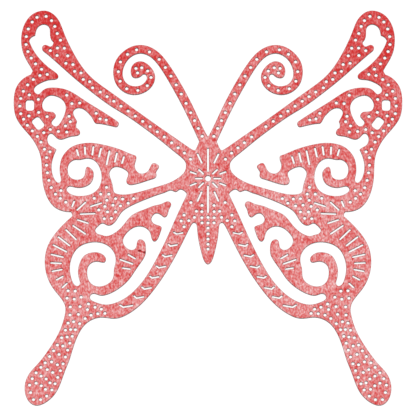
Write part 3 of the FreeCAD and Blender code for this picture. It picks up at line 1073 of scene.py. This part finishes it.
@dataclass
class Net:
    """A node tree with short ways to add what the card needs.

    Attributes:
        tree: the material's node tree.
    """

    tree: bpy.types.NodeTree

    def add(self, kind: str) -> bpy.types.Node:
        """Adds a node of a kind."""
        return self.tree.nodes.new(kind)

    def put(self, socket: Socket, value: Value) -> None:
        """Links a socket to another, or sets it.

        Args:
            socket: the input.
            value: another node's output, or a number, vector or colour.
        """
        if isinstance(value, Socket):
            self.tree.links.new(value, socket)
        else:
            socket.default_value = value

    def result(self, node: bpy.types.Node, inputs: dict[str | int, Value], output: str | int) -> Socket:
        """Fills in a node.

        Args:
            node: the node.
            inputs: what goes into its sockets.
            output: which of its outputs is wanted.

        Returns:
            That output.
        """
        for socket, value in inputs.items():
            self.put(node.inputs[socket], value)
        return node.outputs[output]

    def attribute(self, name: str, output: str) -> Socket:
        """One of the mesh's attributes.

        Args:
            name: the attribute's name.
            output: Vector or Fac.

        Returns:
            Its value.
        """
        node = self.add("ShaderNodeAttribute")
        node.attribute_name = name
        return node.outputs[output]

    def parts(self, vector: Socket) -> tuple[Socket, Socket]:
        """The X and Y of a vector.

        Args:
            vector: the vector.

        Returns:
            X and Y.
        """
        node = self.add("ShaderNodeSeparateXYZ")
        self.put(node.inputs[0], vector)
        return node.outputs["X"], node.outputs["Y"]

    def math(self, operation: str, first: Socket | float, second: Socket | float = 0.0) -> Socket:
        """A sum on one or two values.

        Args:
            operation: its name.
            first: the first value.
            second: the second, where it takes one.

        Returns:
            The result.
        """
        node = self.add("ShaderNodeMath")
        node.operation = operation
        return self.result(node, {0: first, 1: second}, 0)

    def total(self, values: Iterable[Socket]) -> Socket:
        """All the values added up."""
        return reduce(lambda first, second: self.math("ADD", first, second), values)

    def vector_math(self, operation: str, first: Socket, second: Triple = (0.0, 0.0, 0.0)) -> Socket:
        """The number that a vector operation gives.

        Args:
            operation: its name.
            first: the first vector.
            second: the second, where it takes one.

        Returns:
            The number.
        """
        node = self.add("ShaderNodeVectorMath")
        node.operation = operation
        return self.result(node, {0: first, 1: second}, "Value")

    def placed(self, vector: Socket, middle: Triple, turn: float, size: Triple) -> Socket:
        """A vector measured in a frame of its own.

        Args:
            vector: the vector.
            middle: where the frame is.
            turn: of the frame about Z, in radians.
            size: of the frame's unit along each axis.

        Returns:
            The vector in that frame.
        """
        node = self.add("ShaderNodeMapping")
        node.vector_type = "TEXTURE"
        inputs = {"Vector": vector, "Location": middle, "Rotation": (0.0, 0.0, turn), "Scale": size}
        return self.result(node, inputs, "Vector")

    def stretched(self, vector: Socket, scale: Triple, turn: float, start: float = 0.0) -> Socket:
        """A vector turned, scaled so that features come closer, and moved on so that a texture differs."""
        return self.placed(vector, (start, start, start), turn, tuple(1.0 / value for value in scale))

    def noise(self, vector: Socket, scale: float, detail: float = 1.0, rough: float = 0.5) -> Socket:
        """Even noise.

        Args:
            vector: place, in mm.
            scale: features to the millimetre.
            detail: how many finer sizes there are on top.
            rough: how strong each finer size is.

        Returns:
            The noise, round 0.5.
        """
        node = self.add("ShaderNodeTexNoise")
        inputs = {"Vector": vector, "Scale": scale, "Detail": detail, "Roughness": rough}
        return self.result(node, inputs, "Fac")

    def around(self, value: Socket, strength: float) -> Socket:
        """Noise moved to lie round 0, at a strength."""
        return self.math("MULTIPLY", self.math("SUBTRACT", value, 0.5), strength)

    def spread(
        self, value: Socket, old: tuple[float, float], new: tuple[float, float], smooth: bool = False
    ) -> Socket:
        """A value moved from one range to another, and kept in it.

        Args:
            value: the value.
            old: the ends of its range.
            new: what they become.
            smooth: whether it leaves and reaches them gently.

        Returns:
            The new value.
        """
        node = self.add("ShaderNodeMapRange")
        node.interpolation_type = "SMOOTHSTEP" if smooth else "LINEAR"
        inputs = {"Value": value, "From Min": old[0], "From Max": old[1], "To Min": new[0], "To Max": new[1]}
        return self.result(node, inputs, "Result")

    def mix(self, share: Socket, first: Socket, second: Rgba) -> Socket:
        """A colour between two others.

        Args:
            share: of the second.
            first: the colour where there is none of the second.
            second: the other colour.

        Returns:
            The mixed colour.
        """
        node = self.add("ShaderNodeMix")
        node.data_type = "RGBA"
        return self.result(node, {"Factor": share, "A": first, "B": second}, "Result")

    def ramp(self, value: Socket, stops: list[tuple[float, Rgba]]) -> Socket:
        """A colour from a ramp.

        Args:
            value: place on the ramp, from 0 to 1.
            stops: places and colours, in order.

        Returns:
            The colour.
        """
        node = self.add("ShaderNodeValToRGB")
        elements = node.color_ramp.elements
        while len(elements) < len(stops):
            elements.new(0.5)
        for element, (position, colour) in zip(elements, stops):
            element.position = position
            element.color = colour
        return self.result(node, {"Fac": value}, "Color")


@dataclass(frozen=True)
class Crease:
    """A line that the sheet bends on.

    Attributes:
        parent: the body that stays.
        child: the body that lifts.
        start: a point on the line, in mm.
        away: unit direction from the line into the lifting side.
        width: of the strip that bends, in mm.
    """

    parent: str
    child: str
    start: tuple[float, float]
    away: tuple[float, float]
    width: float = 0.6

    @property
    def end(self) -> tuple[float, float]:
        """Where the strip that bends ends, in mm."""
        return (self.start[0] + self.away[0] * self.width, self.start[1] + self.away[1] * self.width)

    @classmethod
    def of_joint(cls, joint: dict) -> Crease:
        """Reads a crease from the joint that stands for it.

        Args:
            joint: the joint's row in the frame.

        Returns:
            The crease. Its lifting side is the one that a positive turn raises.
        """
        x, y, _ = (value / MM for value in joint["pos_m"])
        axis_x, axis_y, _ = joint["axis"]
        return cls(joint["parent"], joint["child"], (x, y), (-axis_y, axis_x))


@dataclass
class SubAssembly:
    """Plates that ride on one body of the frame.

    Attributes:
        body: the body's name.
        plates: the names of its plates.
        crease: the line that it lifts on, if it lifts.
        at_crease: the plates that lie at that line, which get a finer grid beside it and are not joined to
            the body.
        edge: the section of its cut edges.
        tooth: the unevenness of its faces.
        outliner: makes its fine outlines.
        made: its pieces, once they are built.
    """

    body: str
    plates: tuple[str, ...]
    crease: Crease | None = None
    at_crease: tuple[str, ...] = ()
    edge: CutEdge = field(default_factory=CutEdge)
    tooth: Tooth = field(default_factory=Tooth)
    outliner: Resampler = field(default_factory=Resampler)
    made: list[bpy.types.Object] = field(default_factory=list)

    def build(self, sheet: Sheet) -> None:
        """Makes every plate's piece, joins it to the body unless it lies at the crease, and hides the
        frame's plate.

        Args:
            sheet: the whole sheet of card.
        """
        for name in self.plates:
            node = FRAME["nodes"][name]
            loops = [self.outliner.refined(loop) for loop in sheet.outline(node)]
            bends = name in self.at_crease
            fold = (self.crease.start, self.crease.away) if bends else None
            plate = Plate(name, loops, self.edge, self.tooth, sheet.thickness, fold=fold)
            piece = bpy.data.objects.new(f"{name}_card", plate.mesh())
            bpy.context.scene.collection.objects.link(piece)
            if bends:
                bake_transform(piece)
            else:
                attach(piece, self.body)
            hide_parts(name)
            self.made.append(piece)
            count = len(piece.data.polygons)
            LOG.info("%s: %d holes, %d faces, on %s", piece.name, len(loops) - 1, count, self.body)

    def dress(self, card: bpy.types.Material) -> None:
        """Gives every piece the card's material."""
        for piece in self.made:
            piece.data.materials.append(card)


@dataclass
class Trunk(SubAssembly):
    """Head, thorax and abdomen, which stay flat."""

    body: str = "body"
    plates: tuple[str, ...] = ("head", "thorax", "abdomen")


@dataclass
class Antenna(SubAssembly):
    """An antenna: a stem that lifts at its root, and the curl at its end."""

    body: str = ""
    plates: tuple[str, ...] = ("antenna_stem", "antenna_curl")

    @classmethod
    def of_side(cls, side: Side) -> Antenna:
        """The antenna of one side."""
        plates = tuple(f"{name}_{side.word}" for name in cls.plates)
        return cls(f"antenna_{side.word}", plates, crease_of(f"antenna_{side.word}"), plates[:1])


@dataclass
class Wing(SubAssembly):
    """A forewing and its hindwing, which lift together at the thorax."""

    body: str = ""
    plates: tuple[str, ...] = (
        "wing_root",
        "hindwing_inner_bar",
        "forewing_leading_edge",
        "forewing_tip",
        "forewing_outer_margin",
        "forewing_crest",
        "forewing_scroll",
        "forewing_scroll_arm",
        "forewing_trailing_bar",
        "forewing_fan",
        "hindwing_fan",
        "hindwing_crest",
        "hindwing_scroll",
        "hindwing_curl",
        "hindwing_tail_root",
        "hindwing_tail",
    )

    @classmethod
    def of_side(cls, side: Side) -> Wing:
        """The wing of one side."""
        plates = tuple(f"{name}_{side.word}" for name in cls.plates)
        return cls(f"wing_{side.word}", plates, crease_of(f"wing_{side.word}"), plates[:3])


def crease_of(body: str) -> Crease:
    """The crease that a body lifts on."""
    return Crease.of_joint(next(joint for joint in FRAME["joints"] if joint["child"] == body))


@dataclass(frozen=True)
class WhiteBoard:
    """Matt white board.

    Attributes:
        white: how much of the light it gives back.
        roughness: of its face.
        specular: reflection of its face.
    """

    white: float = 0.85
    roughness: float = 0.9
    specular: float = 0.1

    def material(self) -> bpy.types.Material:
        """Makes the board's material.

        Returns:
            A plain node material.
        """
        board = bpy.data.materials.new("white_board")
        board.use_nodes = True
        shader = board.node_tree.nodes["Principled BSDF"]
        shader.inputs["Base Color"].default_value = (self.white, self.white, self.white, 1.0)
        shader.inputs["Roughness"].default_value = self.roughness
        shader.inputs["Specular IOR Level"].default_value = self.specular
        return board


@dataclass
class Studio:
    """A pale table top, soft light from behind the antennae, and a camera straight above.

    Attributes:
        half: of the table top's side, in metres.
        below: how far the table top lies under the card, in metres.
        view_width: of the picture at the card's upper face, in metres.
        view_centre_y: where the middle of the picture lies on the Y axis, in metres.
        lens: of the camera, in mm.
        sensor: of the camera, in mm.
        clip: how near and how far the camera sees, in metres.
        key: strength of the light.
        key_height: of the light above the horizon, in degrees.
        key_softness: apparent size of the light, in degrees.
        fill: strength of the light from all round.
    """

    half: float = 6.0
    below: float = 0.00002
    view_width: float = 0.12866
    view_centre_y: float = -0.009155
    lens: float = 200.0
    sensor: float = 36.0
    clip: tuple[float, float] = (0.01, 10.0)
    key: float = 3.31
    key_height: float = 57.0
    key_softness: float = 9.0
    fill: float = 0.42

    def build(self, thickness: float) -> None:
        """Makes the floor, the lights and the camera.

        Args:
            thickness: of the card, in metres.
        """
        self.floor()
        self.lights()
        self.camera(thickness)
        bpy.context.scene.view_settings.view_transform = "Standard"
        bpy.context.scene.view_settings.look = "None"

    def floor(self) -> None:
        """A wide table top of white board, just under the card."""
        signs = ((-1, -1), (1, -1), (1, 1), (-1, 1))
        corners = [(x * self.half, y * self.half, -self.below) for x, y in signs]
        mesh = bpy.data.meshes.new("table_top")
        mesh.from_pydata(corners, [], [(0, 1, 2, 3)])
        floor = bpy.data.objects.new("table_top", mesh)
        bpy.context.scene.collection.objects.link(floor)
        mesh.materials.append(WhiteBoard().material())

    def lights(self) -> None:
        """A soft sun on the side of the antennae, and an even white surround."""
        key = bpy.data.lights.new("key", "SUN")
        key.energy = self.key
        key.angle = math.radians(self.key_softness)
        sun = bpy.data.objects.new("key", key)
        sun.rotation_euler = (-math.radians(90.0 - self.key_height), 0.0, 0.0)
        bpy.context.scene.collection.objects.link(sun)
        world = bpy.context.scene.world or bpy.data.worlds.new("surround")
        bpy.context.scene.world = world
        world.use_nodes = True
        background = world.node_tree.nodes["Background"]
        background.inputs["Color"].default_value = (1.0, 1.0, 1.0, 1.0)
        background.inputs["Strength"].default_value = self.fill

    def camera(self, thickness: float) -> None:
        """A camera that looks straight down, with the antennae up.

        Args:
            thickness: of the card, in metres.
        """
        lens = bpy.data.cameras.new("overhead")
        lens.lens = self.lens
        lens.sensor_width = self.sensor
        distance = self.view_width * self.lens / self.sensor
        lens.clip_start, lens.clip_end = self.clip
        camera = bpy.data.objects.new("overhead", lens)
        camera.location = (0.0, self.view_centre_y, thickness + distance)
        bpy.context.scene.collection.objects.link(camera)
        bpy.context.scene.camera = camera


def main() -> None:
    """Builds every sub-assembly and the studio round the frame."""
    logging.basicConfig(level=logging.INFO, format="%(name)s: %(message)s")
    sheet = Sheet.from_frame(FRAME["nodes"])
    card = RedCard().material()
    assemblies: list[SubAssembly] = [Trunk()]
    assemblies += [Antenna.of_side(side) for side in Side]
    assemblies += [Wing.of_side(side) for side in Side]
    for assembly in assemblies:
        assembly.build(sheet)
        assembly.dress(card)
    Studio().build(sheet.thickness * MM)


if __name__ == "__main__":
    main()
